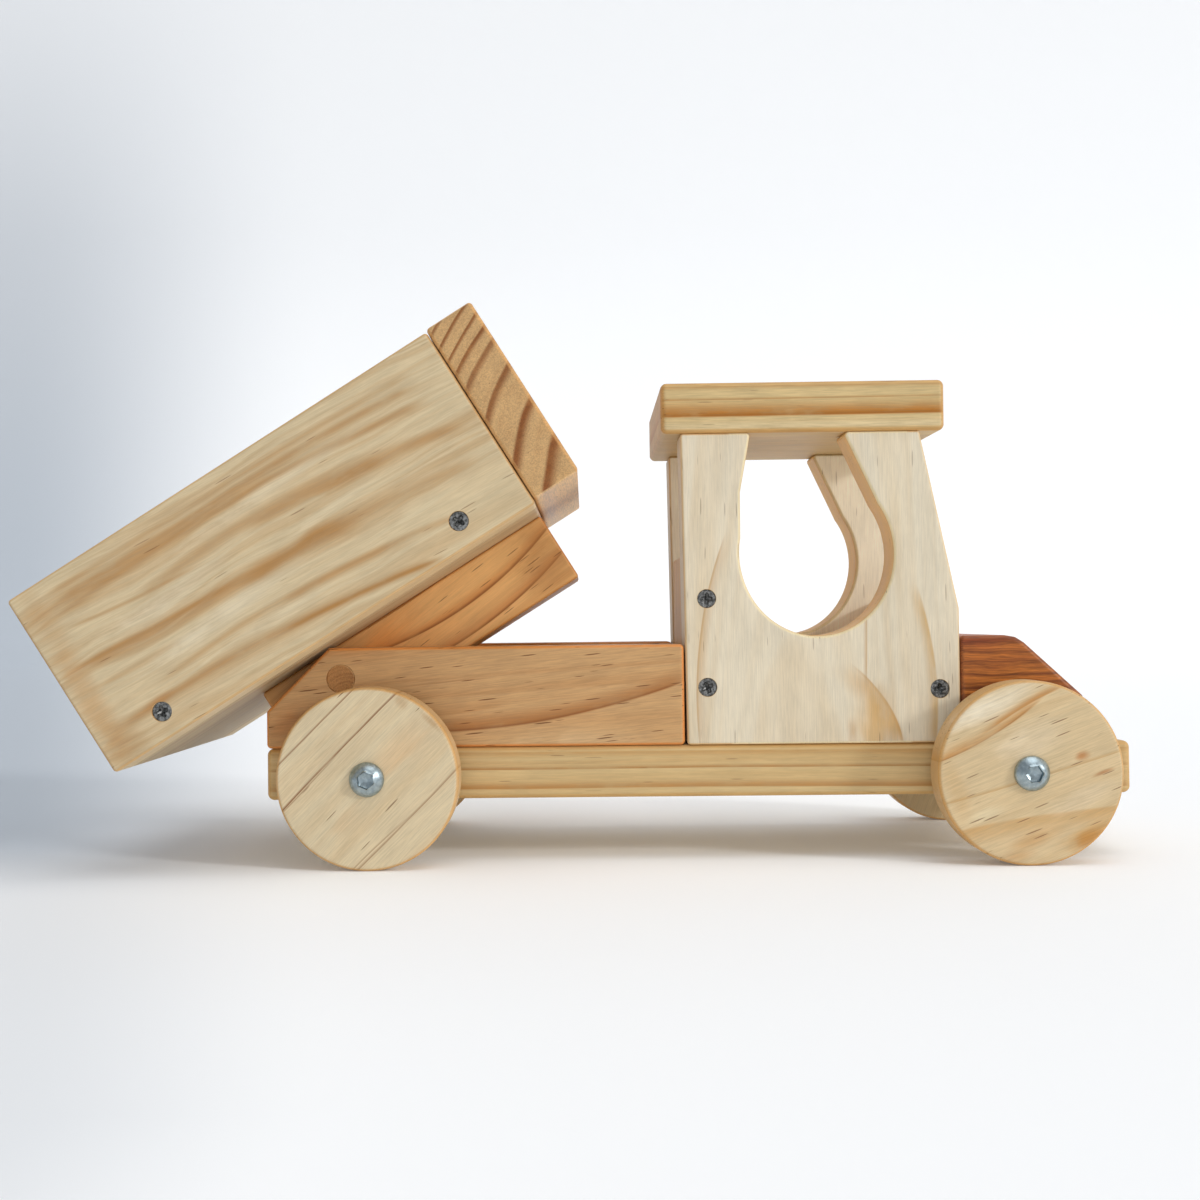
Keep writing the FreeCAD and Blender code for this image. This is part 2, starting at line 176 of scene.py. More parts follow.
def wood(name, origin, along, across, early, late, seed=0.0, pith=(0.0, -60.0), lean=(0.0, 0.0), drift=0.0,
         spacing=4.0, contrast=0.5, sharp=0.5, wave=(90.0, 25.0, 2.0), uneven=1.0,
         bands=(0.25, rgb(190, 140, 85)), fibre=0.10, dashes=(0.0, 0.6), end=rgb(170, 125, 80),
         end_depth=0.55, edge=(0.35, rgb(190, 135, 75)), side=(0.0, rgb(200, 155, 95)), lines=(), patches=(),
         rings_at=(), crisp=0.14, inside=(1, 0.0, rgb(230, 215, 190)), rough=0.5, side_reach=1000.0,
         rim_light=0.0):
    """Planed softwood. along is the grain's direction and across the other direction of the main face;
    lengths are millimetres on the board from origin: u along, v across, w through the thickness.
    early and late are the colours of spring and summer wood, contrast how far the rings show;
    pith is (v, w) of the tree's middle, lean its slope along u, drift the slope of the fibres;
    spacing is the rings' distance, uneven how it varies, sharp how crisp they are, from 0 to 1,
    and wave the length along, the width across and the depth of their slow bends;
    bands are broad soft bands (strength, colour), fibre the depth of the fine fibres,
    dashes the short resin dashes (share of places, strength);
    end is the end grain's colour, end_depth its strength, edge (strength, colour) the eased edges;
    side (strength, colour) is for the narrow faces up to side_reach from v = 0, partly their own tone and
    partly painted light, where rim_light paints a pale highlight on the very brink of the main face;
    lines are single growth lines (three (u, v) points, width of the fading side, strength, colour), which
    fade towards +v, or towards -v where the width is negative; crisp is how far the sharp side fades too;
    patches are stains (u, v, length, width, strength, colour);
    rings_at are the rings themselves (radius, width, strength), where they stand too clear to be regular;
    inside (side of w, strength, colour) is a back face painted paler as painted light, rough the mean
    roughness."""
    g = Graph(name)
    thick = along.cross(across).normalized()
    coordinate = g.node("ShaderNodeTexCoord")
    place = g.node("ShaderNodeVectorMath", {0: coordinate.outputs["Object"], 1: tuple(origin)},
                   operation="SUBTRACT").outputs[0]
    u, v, w = (g.dot(place, axis / MM) for axis in (along, across, thick))
    n_u, n_v, n_w = (g.math("ABSOLUTE", g.dot(coordinate.outputs["Normal"], axis))
                     for axis in (along, across, thick))

    # growth rings about the pith, bent by slow waves along the grain
    long_wave, cross_wave, depth = wave
    slow = g.noise(g.xyz(g.add(g.mul(u, 1 / long_wave), seed), g.mul(v, 1 / cross_wave),
                         g.mul(w, 1 / cross_wave)), detail=2.0, roughness=0.45)
    bend = g.mul(g.sub(slow, 0.5), 4 * depth)
    ring_v = g.add(g.sub(v, g.add(g.mul(u, lean[0]), pith[0])), bend)
    ring_w = g.sub(w, g.add(g.mul(u, lean[1]), pith[1]))
    radius = g.math("SQRT", g.add(g.mul(ring_v, ring_v), g.mul(ring_w, ring_w)))
    radius = g.add(radius, g.mul(bend, 0.5))
    wander = g.noise_1d(g.add(g.mul(radius, 0.6 / spacing), seed * 3.1))
    years = g.add(g.mul(radius, 1 / spacing), g.mul(wander, 2.2 * uneven))
    phase = g.math("FRACT", years)
    year = g.math("FLOOR", years)
    strength = g.node("ShaderNodeTexWhiteNoise", {"W": g.add(year, seed)},
                      noise_dimensions="1D").outputs["Value"]
    rise, peak, rest = 0.15 + 0.5 * sharp, 0.62 + 0.26 * sharp, 0.12 * (1 - sharp)
    profile = g.ramp(phase, ((0.0, rest), (rise, 0.10), ((rise + peak) / 2, 0.5), (peak, 1.0),
                             (0.5 * (1 + peak), 0.72), (1.0, rest)))
    rings = g.mul(profile, g.step(strength, 0.0, 1.0, 0.35, 1.0))
    fade_long, fade_cross = FADE_STRETCH
    fade = g.noise(g.xyz(g.mul(u, 1 / fade_long), g.add(g.mul(v, 1 / fade_cross), seed),
                         g.mul(w, 1 / fade_cross)), 1.0)
    rings = g.mul(rings, g.step(fade, 0.3, 0.65, 0.4, 1.0))
    if rings_at:
        rings = g.mul(rings, 0.15)
        for at, width, clear in rings_at:
            band = g.mul(g.step(radius, at - 0.7 * width, at),
                         g.step(radius, at + 0.35 * width, at + 0.1 * width))
            rings = g.math("MAXIMUM", rings, g.mul(band, clear))

    # broad soft bands, fine fibres, mottle and short resin dashes, all along the fibres
    level = g.add(g.sub(v, g.mul(u, drift)), g.mul(bend, 0.6))

    def drawn_out(stretch, offset):
        long, cross = stretch
        return g.xyz(g.mul(u, 1 / long), g.mul(level, 1 / cross), g.add(g.mul(w, 1 / cross), offset))

    broad = g.step(g.noise(drawn_out(BROAD_STRETCH, seed + 7), 2.0), 0.45, 0.75)
    fine = g.noise(drawn_out(FINE_STRETCH, seed), 3.0, 0.65)
    cloud = g.noise(drawn_out(CLOUD_STRETCH, seed + 3), 4.0, 0.6)
    cells = g.node("ShaderNodeTexVoronoi",
                   {"Vector": drawn_out(DASH_STRETCH, seed), "Scale": 1.0, "Randomness": 1.0})
    share, dash_strength = dashes
    chosen = g.step(g.dot(cells.outputs["Color"], (1, 0, 0)), 1 - share - 0.02, 1 - share + 0.02)
    length = g.add(g.mul(g.dot(cells.outputs["Color"], (0, 1, 0)), 0.12), 0.08)
    dash = g.mul(g.step(g.sub(cells.outputs["Distance"], length), 0.05, -0.03), chosen)

    end_face = g.step(n_u, 0.55, 0.85)
    ring_depth = g.step(end_face, 0, 1, contrast, min(1.0, contrast * 1.4))
    colour = g.mix(g.mul(rings, ring_depth), early, late)
    colour = g.mix(g.mul(broad, bands[0]), colour, bands[1])
    for points, width, amount, tint in lines:
        (u0, v0), (u1, v1), (u2, v2) = points
        square, slope, start = np.polyfit((u0, u1, u2), (v0, v1, v2), 2)
        centre = g.add(g.mul(g.add(g.mul(u, float(square)), float(slope)), u), float(start))
        away = g.mul(g.add(g.sub(v, centre), g.mul(bend, 0.35)), math.copysign(1, width))
        line = g.mul(g.step(away, -crisp * abs(width) - LINE_BRINK, 0.0), g.step(away, abs(width), 0.0))
        line = g.mul(line, g.mul(g.step(u, u0 - LINE_REACH, u0 + LINE_REACH),
                                 g.step(u, u2 + LINE_REACH, u2 - LINE_REACH)))
        line = g.mul(line, g.mul(g.step(cloud, 0.25, 0.55, 0.5, 1.0), g.step(fine, 0.15, 0.6, 0.75, 1.0)))
        colour = g.mix(g.mul(line, amount), colour, tint)
    for pu, pv, long, wide, amount, tint in patches:
        du = g.mul(g.add(g.sub(u, pu), g.mul(g.sub(cloud, 0.5), long * 1.5)), 1 / long)
        dv = g.mul(g.add(g.sub(v, pv), g.mul(g.sub(slow, 0.5), wide * 1.6)), 1 / wide)
        away = g.math("SQRT", g.add(g.mul(du, du), g.mul(dv, dv)))
        stain = g.mul(g.step(away, 1.0, 0.1), g.step(cloud, 0.3, 0.6, 0.45, 1.0))
        colour = g.mix(g.mul(stain, amount), colour, tint)

    # end grain, narrow faces, back face and eased edges
    near = g.step(g.math("ABSOLUTE", v), side_reach + 1, side_reach - 1)
    off_face = g.step(n_w, 0.6, 0.2) if rim_light else g.step(n_v, 0.5, 0.9)
    end_strength = g.mul(g.mul(end_face, end_depth), g.sub(1.0, g.mul(near, min(1.0, 2 * rim_light))))
    colour = g.mix(end_strength, colour, end)
    colour = g.mix(g.mul(g.mul(off_face, near), side[0]), colour, side[1])
    # painted light: the face on this side of w is painted paler, standing in for light that reaches it
    back_side, painted_light_strength, painted_light_tint = inside
    if painted_light_strength:
        back = g.mul(g.step(g.mul(w, back_side), 8.0, 10.5), g.step(n_w, 0.85, 0.97))
        colour = g.mix(g.mul(back, painted_light_strength), colour, painted_light_tint)
    rim = g.mul(g.step(n_w, 0.03, 0.3), g.step(n_w, 0.99, 0.8))
    colour = g.mix(g.mul(rim, edge[0]), colour, edge[1])
    # painted highlight: the very brink of the main face is painted pale
    if rim_light:
        brink = g.mul(g.mul(g.step(n_w, 0.35, 0.6), g.step(n_w, 0.995, 0.9)), near)
        colour = g.mix(g.mul(brink, rim_light), colour, BRINK_HIGHLIGHT)
    colour = g.mix(g.mul(dash, dash_strength), colour, RESIN)
    shade = g.add(g.step(fine, 0.25, 0.75, 1 - fibre, 1 + fibre * 0.6), g.step(cloud, 0.3, 0.7, -0.05, 0.05))
    colour = g.mix(1.0, colour, g.xyz(shade, shade, shade), "MULTIPLY")

    height = g.add(g.mul(fine, 0.4), g.sub(g.mul(rings, 0.25), g.mul(dash, 0.6)))
    bump = g.node("ShaderNodeBump", {"Height": height, "Strength": 0.3, "Distance": 0.12 * MM})
    roughness = g.step(g.add(fine, g.mul(rings, -0.3)), 0.1, 0.8, rough - 0.07, rough + 0.1)
    shader = g.node("ShaderNodeBsdfPrincipled", {"Base Color": colour, "Roughness": roughness,
                    "Normal": bump.outputs[0], "IOR": 1.45, "Specular IOR Level": 0.4})
    return g.finish(shader.outputs[0])


def metal(name, colour, dark, rough, grain, sparkle, metallic=1.0):
    """Plated steel, colour mottled with dark: grain is the mottle's size, sparkle the depth of its dents."""
    g = Graph(name)
    place = g.node("ShaderNodeTexCoord").outputs["Object"]
    scaled = g.scaled(place, 1 / grain)
    mottle = g.noise(scaled, 4.0, 0.6)
    shade = g.mix(g.step(mottle, 0.35, 0.7), dark, colour)
    flakes = g.node("ShaderNodeTexVoronoi", {"Vector": scaled, "Scale": 2.5}).outputs["Distance"]
    bump = g.node("ShaderNodeBump", {"Height": g.add(mottle, g.mul(flakes, 0.3)), "Strength": sparkle,
                  "Distance": 0.06 * MM})
    shader = g.node("ShaderNodeBsdfPrincipled", {"Base Color": shade, "Metallic": metallic,
                    "Roughness": g.step(mottle, 0.2, 0.8, rough - 0.08, rough + 0.1),
                    "Normal": bump.outputs[0]})
    return g.finish(shader.outputs[0])


def dress(node, material):
    """A CAD node keeps its shape and gets this material."""
    for slot in frame["nodes"][node].material_slots:
        slot.material = material


def board(node, along, across, origin=None, **figure):
    """Dress a CAD node in wood, its figure measured from the node's middle unless an origin is given."""
    dress(node, wood(node, middle(node) if origin is None else origin, along, across, **figure))


PALE = dict(early=rgb(228, 216, 191), late=rgb(200, 168, 116), end=rgb(228, 166, 80))
TAN = dict(early=rgb(213, 193, 155), late=rgb(176, 132, 76), end=rgb(186, 136, 80))
GOLD = dict(early=rgb(212, 184, 132), late=rgb(182, 130, 66), end=rgb(216, 184, 140))
ORANGE = dict(early=rgb(202, 160, 110), late=rgb(172, 116, 60), end=rgb(180, 114, 60))

# colours of growth lines, stains and window walls; the window walls' colour is partly painted light
BROWN = rgb(184, 136, 72)
CARAMEL = rgb(196, 146, 76)
DEEP = rgb(134, 84, 44)
HONEY = rgb(236, 186, 94)
OCHRE = rgb(206, 162, 94)
CREAM = rgb(226, 212, 180)
STRAW = rgb(222, 206, 172)
RUST = rgb(196, 118, 46)
RESIN_RED = rgb(132, 74, 30)
DARK_HEART = rgb(78, 26, 10)
UMBER = rgb(172, 122, 60)

for side, seed in (("right", 0.0), ("left", 20.0)):
    # on the right side w, the way through a board, points into the cab, but out of the rail and the bed side
    out = 1 if side == "right" else -1
    board(
        "cab_side_" + side, Z, X, **PALE, seed=1.3 + seed, pith=(-8.0, 62.0 * out), lean=(0.02, 0.05),
        spacing=5.0, contrast=0.28, sharp=0.4, wave=(110, 22, 1.6), bands=(0.14, rgb(208, 180, 132)),
        # the window walls' HONEY tint is partly the wood's own tone and partly painted light
        dashes=(0.35, 0.45), side=(0.8, HONEY), edge=(0.55, rgb(222, 182, 116)), side_reach=37.0,
        # rim_light paints a highlight on the brink and inside paints the faces towards the cab paler: both
        # painted light
        rim_light=0.8, inside=(out, 1.0, rgb(255, 246, 222)),
        lines=((((-64, -50.5), (-30, -50.5), (18, -40.5)), 5.0, 0.35, BROWN),
               (((-64, -50.9), (-30, -50.9), (18, -40.9)), 1.1, 0.5, BROWN),
               (((-64, 46.6), (-36, 47.1), (-4, 41.2)), -5.5, 0.8, rgb(202, 160, 92)),
               (((-64, 33.0), (-52, 29.0), (-37, 17.8)), -1.6, 0.75, BROWN),
               (((-64, 32.5), (-52, 28.0), (-37, 17.0)), -14.0, 0.75, rgb(200, 154, 86)),
               (((-39, 18.2), (-24, 18.4), (-8, 18.6)), -1.6, 0.6, BROWN)),
        patches=((-57, 20, 16, 12, 0.7, OCHRE), (-60, 12, 8, 3, 0.5, BROWN), (-48, 22, 10, 7, 0.5, OCHRE)))
    board(
        "bed_side_" + side, BED_X, BED_Z, **TAN, seed=4.1 + seed, pith=(-70.0, -40.0 * out),
        lean=(-0.05, 0.0), drift=-0.07, spacing=3.2, contrast=0.4, sharp=0.15, crisp=1.0,
        wave=(60, 20, 1.9), uneven=0.9, bands=(0.4, rgb(190, 148, 96)), dashes=(0.12, 0.5),
        # the narrow faces' pale tint is painted light, standing in for light from the floor below
        side=(0.75, rgb(240, 216, 172)), edge=(0.55, rgb(200, 150, 84)), fibre=0.11,
        lines=((((-80, 32.4), (0, 31.5), (80, 29.4)), 2.6, 0.5, UMBER),
               (((-80, 28.2), (0, 27.9), (80, 24.8)), 3.0, 0.65, UMBER),
               (((-80, 24.2), (0, 24.6), (80, 16.8)), 3.2, 0.65, UMBER),
               (((-80, 17.3), (-55, 14.0), (-28, 11.2)), -1.2, 0.5, UMBER),
               (((-50, 13.2), (12, 14.2), (88, 1.0)), 4.2, 0.55, UMBER),
               (((0, 12.2), (30, 10.0), (58, 5.8)), 3.6, 0.6, UMBER),
               (((-84, 1.6), (0, -3.6), (84, -12.6)), 4.2, 0.5, UMBER),
               (((-90, 3.0), (-60, 1.0), (-20, -2.4)), 2.0, 0.6, UMBER),
               (((-12, -4.4), (14, -5.4), (34, -8.4)), 6.4, 0.6, UMBER),
               (((-84, 1.0), (-40, -3.4), (0, -6.0)), 4.0, 0.4, UMBER),
               (((-60, -19.0), (0, -18.6), (70, -27.5)), 2.2, 0.45, UMBER),
               (((-4, -19.2), (20, -20.8), (46, -24.4)), 3.4, 0.5, UMBER),
               (((-84, -25.6), (-10, -28.4), (52, -37.5)), 3.4, 0.7, UMBER),
               (((-10, -29.0), (16, -31.8), (52, -37.4)), 1.4, 0.8, UMBER),
               (((-84, -8.0), (-68, -8.4), (-50, -9.6)), -2.0, 0.4, UMBER)),
        patches=((-67, -24.5, 9, 3, 0.5, rgb(178, 122, 62)), (-90, 0, 8, 44, 0.45, rgb(190, 136, 74)),
                 (20, -5, 15, 6.5, 0.6, UMBER), (42, 8, 18, 4, 0.6, UMBER), (-88, -30, 12, 18, 0.5, UMBER),
                 (-30, -11, 46, 6, 0.75, rgb(224, 210, 180)), (-44, 8, 36, 6, 0.6, rgb(226, 212, 182)),
                 (-10, -22.6, 40, 3, 0.6, STRAW), (14, 20, 56, 3.5, 0.55, CREAM),
                 (60, -17, 28, 4, 0.5, rgb(220, 204, 168)), (30, 1.5, 30, 3, 0.5, STRAW)))
    board(
        "rail_" + side, X, Z, **ORANGE, seed=2.2 + seed, pith=(70.0, -40.0 * out), lean=(0.06, 0.0),
        drift=0.10, spacing=8.0, contrast=0.38, sharp=0.4, wave=(140, 30, 1.6),
        bands=(0.3, rgb(186, 128, 68)), dashes=(0.85, 0.9), edge=(0.85, rgb(226, 146, 74)), fibre=0.16,
        lines=((((-14, -14.0), (35, -8.6), (86, 5.4)), 7.5, 0.8, rgb(162, 98, 38)),
               (((-14, -14.2), (35, -8.8), (86, 5.2)), 1.2, 0.6, rgb(124, 68, 28)),
               (((-30, 4.4), (-14, 6.2), (4, 7.6)), 1.0, 0.4, rgb(140, 84, 40)),
               (((-88, -6), (-40, -9), (10, -4)), 5.0, 0.3, rgb(170, 110, 52))),
        patches=((46, -19, 46, 9, 0.55, rgb(214, 182, 138)), (-76, -6, 16, 18, 0.5, rgb(186, 116, 52)),
                 (-60, 19, 40, 4, 0.4, rgb(196, 126, 60))))

board(
    "chassis_board", X, Z, **GOLD, seed=6.4, pith=(-120.0, 20.0), spacing=6.5, contrast=0.35, sharp=0.3,
    wave=(130, 30, 0.9), bands=(0.25, rgb(196, 150, 84)), dashes=(0.25, 0.5), edge=(0.45, rgb(208, 156, 80)),
    lines=((((-178, 1.2), (0, 1.4), (178, 1.0)), 1.8, 0.75, rgb(166, 110, 46)),
           (((-178, -7.0), (0, -6.4), (178, -7.6)), 3.6, 0.75, rgb(174, 116, 48)),
           (((-178, 8.6), (0, 8.2), (178, 8.0)), -3.4, 0.55, rgb(184, 130, 62))))
board(
    "cab_roof", X, Z, early=rgb(212, 186, 134), late=rgb(182, 132, 62), end=rgb(226, 202, 172), seed=9.7,
    pith=(-90.0, 20.0), spacing=4.5, contrast=0.25, sharp=0.3, fibre=0.16, wave=(140, 30, 0.5),
    bands=(0.15, rgb(194, 144, 70)), dashes=(0.2, 0.4), edge=(0.6, rgb(204, 148, 74)),
    lines=((((-62, -3.4), (0, -3.2), (62, -2.8)), 7.0, 1.0, rgb(178, 112, 28)),
           (((-62, -8.4), (0, -8.2), (62, -8.0)), 5.0, 0.5, rgb(224, 206, 166)),
           (((-62, -3.5), (0, -3.3), (62, -2.9)), 1.6, 0.6, rgb(150, 92, 30)),
           (((-62, 3.0), (0, 3.4), (62, 3.8)), 1.2, 0.6, rgb(170, 116, 50)),
           (((-62, 8.6), (0, 8.8), (62, 9.0)), -1.6, 0.6, rgb(176, 122, 56))))
for wall, seed, early, late in (("cab_back_wall", 3.3, rgb(234, 190, 124), rgb(190, 134, 66)),
                                ("cab_front_wall", 5.9, rgb(234, 156, 84), rgb(184, 106, 50))):
    board(wall, Z, Y, early=early, late=late, seed=seed, pith=(10.0, -50.0), spacing=5.0, contrast=0.5,
          dashes=(0.25, 0.5))
board(
    "bed_floor", BED_X, Y, **TAN, seed=8.8, pith=(20.0, -50.0), lean=(0.03, 0.02), spacing=4.5, contrast=0.6,
    sharp=0.3, wave=(110, 30, 2.4), dashes=(0.3, 0.5))
board(
    "bed_headboard", Y, BED_Z, early=rgb(206, 166, 114), late=rgb(132, 70, 18), end=rgb(196, 150, 96),
    # the narrow faces' pale tint is painted light, standing in for light from the right and the floor
    end_depth=0.08, fibre=0.26, side=(0.6, rgb(252, 216, 168)), seed=7.2, pith=(-85.0, 60.0), contrast=0.8,
    uneven=0.35, wave=(140, 40, 1.0), dashes=(0.3, 0.5), edge=(0.5, rgb(222, 164, 96)),
    rings_at=((66, 6, 0.8), (79.5, 7, 1.0), (93, 5.5, 1.0), (106.5, 4.5, 0.9), (117.5, 4.5, 0.8),
              (124, 3.2, 0.95), (129.5, 2.2, 0.9), (135, 2.2, 0.9), (140, 2.0, 0.8), (146, 2.0, 0.7)))
# the tip block's colours are partly its own and partly painted light, raised against the shade under the bed
board(
    "tip_block", BED_X, BED_Z, origin=PIVOT, early=rgb(234, 182, 116), late=rgb(176, 110, 48),
    end=rgb(160, 104, 52), seed=5.2, pith=(-90.0, 22.0), lean=(0.14, 0.0), drift=0.1, spacing=9.5,
    contrast=0.3, sharp=0.4, wave=(110, 30, 1.4), dashes=(0.45, 0.7), edge=(0.5, rgb(206, 132, 62)),
    bands=(0.3, rgb(220, 150, 76)),
    lines=((((8, 14.4), (36, 13.2), (64, 14.6)), 1.6, 0.8, rgb(140, 80, 34)),
           (((14, 3.0), (50, -1.6), (108, 8.6)), 5.0, 0.7, RUST),
           (((14, 2.8), (50, -1.8), (108, 8.4)), 1.5, 0.85, RESIN_RED),
           (((30, -12.6), (62, -12.8), (108, -3.4)), 4.5, 0.65, RUST),
           (((30, -12.8), (62, -13.0), (108, -3.6)), 1.4, 0.85, RESIN_RED)),
    # the last patch, dark over the block's right end, is painted shade
    patches=((22, 5, 26, 9, 0.55, rgb(232, 146, 62)), (102, -2, 26, 26, 0.6, rgb(166, 112, 58))))
board(
    "pivot_dowel", Y, X, origin=PIVOT, early=rgb(196, 144, 86), late=rgb(134, 84, 38), end=rgb(166, 114, 62),
    end_depth=0.5, seed=1.9, pith=(3.0, 9.0), spacing=1.7, contrast=0.7, sharp=0.4, wave=(40, 8, 0.5),
    fibre=0.3, edge=(0.6, rgb(232, 190, 132)))

# the hood's dark streaks: height, how they bow, width and strength
HOOD_STREAKS = ((19.6, 0.3, 2.2, 0.5), (15.8, -0.9, 1.3, 0.45), (10.6, 0.9, 1.2, 0.4),
                (6.4, -0.8, 1.0, 0.7), (2.8, -0.6, 1.3, 0.5), (0.2, 0.4, 1.8, 0.8), (-4.0, -0.3, 2.2, 0.75))
board(
    "hood_block", X, Z, early=rgb(204, 122, 50), late=rgb(112, 44, 20), end=rgb(112, 52, 24), seed=2.7,
    pith=(90.0, -30.0), lean=(0.03, 0.0), spacing=2.4, contrast=0.6, sharp=0.0, wave=(14, 5, 1.1), uneven=1.8,
    bands=(0.5, rgb(122, 52, 26)), dashes=(0.6, 0.6), edge=(0.3, rgb(110, 54, 34)), fibre=0.45, rough=0.42,
    crisp=1.0,
    lines=tuple((((-26, v), (0, v + bow), (28, v - bow)), width, amount, DARK_HEART)
                for v, bow, width, amount in HOOD_STREAKS),
    patches=((-14, 20, 34, 5, 0.6, rgb(122, 46, 26)), (-12, 13.6, 16, 2.6, 0.5, rgb(202, 118, 44)),
             (2, 9, 20, 3.6, 0.55, rgb(206, 126, 50)), (8, 4, 14, 2, 0.4, rgb(196, 112, 44))))

# each wheel's grain angle in degrees, its colour, how many of its resin dashes show, and its figure
WHEELS = {
    "rear_right": dict(
        angle=45, early=rgb(220, 203, 168), share=0.12,
        lines=((((-40, 29.0), (0, 29.0), (40, 29.2)), 0.9, 0.8, DEEP),
               (((-40, 15.0), (0, 15.8), (40, 15.4)), 1.0, 1.0, DEEP),
               (((-36, 14.8), (-14, 14.9), (4, 15.9)), 0.7, 0.6, DEEP),
               (((-40, -22.6), (0, -23.2), (40, -22.6)), 1.0, 0.65, DEEP),
               (((-36, -21.4), (-18, -21.6), (0, -22.6)), 0.8, 0.5, DEEP)),
        patches=((20, -4, 20, 12, 0.4, rgb(212, 168, 116)), (-18, -8, 12, 6, 0.3, rgb(200, 158, 108)),
                 (34.5, -4, 2.2, 9, 0.7, rgb(176, 130, 80)), (32, 12, 3, 5, 0.5, rgb(176, 130, 80)))),
    "front_right": dict(
        angle=22, early=rgb(216, 192, 150), share=0.6,
        lines=((((-34, 18.2), (-10, 19.6), (12, 24.6)), 3.6, 0.95, rgb(198, 142, 76)),
               (((-10, 22.0), (4, 25.0), (24, 27.0)), 3.2, 0.9, rgb(190, 134, 70)),
               (((-34, 18.0), (-10, 19.4), (10, 24.2)), 0.8, 0.5, DEEP),
               (((-40, 2.4), (0, -2.4), (38, -5.2)), 1.6, 0.5, BROWN),
               (((-38, -10.5), (-8, -16), (34, -28)), -9.0, 0.55, CARAMEL)),
        patches=((12, -30, 18, 5, 0.85, CARAMEL), (21.5, -1.2, 4, 2.8, 0.8, rgb(186, 122, 62)),
                 (27, -10.2, 7, 1.2, 0.7, rgb(170, 108, 54)), (-30, 6, 6, 14, 0.3, CARAMEL),
                 (-8, -24, 14, 4, 0.45, rgb(190, 134, 66)), (4, 12, 20, 10, 0.7, rgb(228, 210, 178)),
                 (-6, 31, 30, 7, 0.9, rgb(236, 224, 198)), (14, -15, 20, 6, 0.7, rgb(226, 206, 172)),
                 (-22, -8, 10, 4, 0.6, rgb(230, 214, 176)), (-20, 20, 10, 3, 0.6, rgb(188, 130, 60)),
                 (12, -32, 14, 5, 0.7, rgb(186, 128, 58)), (-20, -28, 12, 4, 0.5, rgb(190, 132, 66)))),
    "rear_left": dict(
        angle=-30, early=rgb(218, 200, 164), share=0.12, patches=(),
        lines=((((-40, 8), (0, 9), (40, 8)), 1.0, 0.7, DEEP),)),
    "front_left": dict(
        angle=70, early=rgb(216, 196, 158), share=0.12, patches=(),
        lines=((((-40, -14), (0, -13), (40, -15)), 1.0, 0.7, DEEP),)),
}
for corner, wheel in WHEELS.items():
    turn = math.radians(wheel["angle"])
    grain = Vector((math.cos(turn), 0, math.sin(turn)))
    cross = Vector((-math.sin(turn), 0, math.cos(turn)))
    board(
        "wheel_" + corner, grain, cross, early=wheel["early"], late=rgb(190, 146, 90), end=rgb(208, 158, 90),
        seed=wheel["angle"] * 0.11, pith=(-90.0, 20.0), spacing=9.0, contrast=0.25, sharp=0.3,
        wave=(70, 24, 1.5), bands=(0.22, rgb(204, 166, 112)), dashes=(wheel["share"], 0.7), fibre=0.13,
        side=(0.5, rgb(212, 160, 86)), edge=(0.65, rgb(210, 156, 84)), lines=wheel["lines"],
        patches=wheel["patches"])


# ------------------------------------------------------------ screws and bolts

zinc = metal("zinc", rgb(174, 189, 195), rgb(148, 163, 170), 0.34, 1.4 * MM, 0.12)
steel = metal("screw_steel", rgb(150, 151, 150), rgb(70, 71, 70), 0.36, 0.9 * MM, 0.35, 0.8)

SCREW_HEAD, SCREW_SHANK = 4.0, 2.0                    # radii in millimetres
BOLT_HEAD_HEIGHT, BOLT_SHANK = 4.4, 4.0


def build(name, verts, faces, material, smooth_angle=40):
    mesh = bpy.data.meshes.new(name)
    mesh.from_pydata([tuple(v) for v in verts], [], faces)
    mesh.validate()
    mesh.materials.append(material)
    obj = bpy.data.objects.new(name, mesh)
    bpy.context.scene.collection.objects.link(obj)
    mesh.polygons.foreach_set("use_smooth", [True] * len(mesh.polygons))
    mesh.set_sharp_from_angle(angle=math.radians(smooth_angle))
    return obj


def grid_faces(rows, columns):
    """Faces between rings of vertices, each ring closed on itself."""
    return [(r * columns + c, r * columns + (c + 1) % columns,
             (r + 1) * columns + (c + 1) % columns, (r + 1) * columns + c)
            for r in range(rows - 1) for c in range(columns)]


def cap(ring_start, columns, centre, flip=False):
    faces = [(ring_start + c, ring_start + (c + 1) % columns, centre) for c in range(columns)]
    return [f[::-1] for f in faces] if flip else faces


def circle(angles, radius, z):
    """A level ring of vertices round the z axis."""
    return [(radius * math.cos(a), radius * math.sin(a), z) for a in angles]


